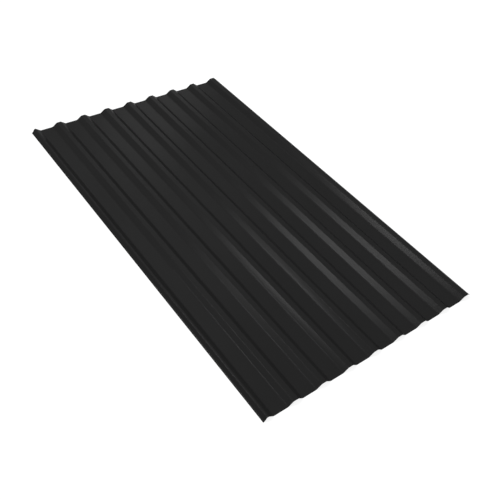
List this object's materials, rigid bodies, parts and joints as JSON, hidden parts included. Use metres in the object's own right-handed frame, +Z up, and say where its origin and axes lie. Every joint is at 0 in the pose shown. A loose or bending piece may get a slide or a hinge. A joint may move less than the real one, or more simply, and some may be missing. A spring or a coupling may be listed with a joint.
{
  "type": "box profile roofing sheet",
  "caption": "Steel roof sheet with low trapezoidal ribs, wide flat pans between them, a narrow underlap rib on one long edge and an overlap rib with a short lip on the other.",
  "frame": {"origin": "middle of the sheet's length and width, on the plane its pans rest on", "axes": "+X across the ribs towards the overlap rib, +Y along the ribs, +Z up through the face"},
  "size_m": [1.1508, 2, 0.0195],
  "materials": {
    "coated_steel": "satin anthracite coil coating"
  },
  "bodies": {
    "root": {"roofing_sheet": "coated_steel"}
  },
  "joints": []
}
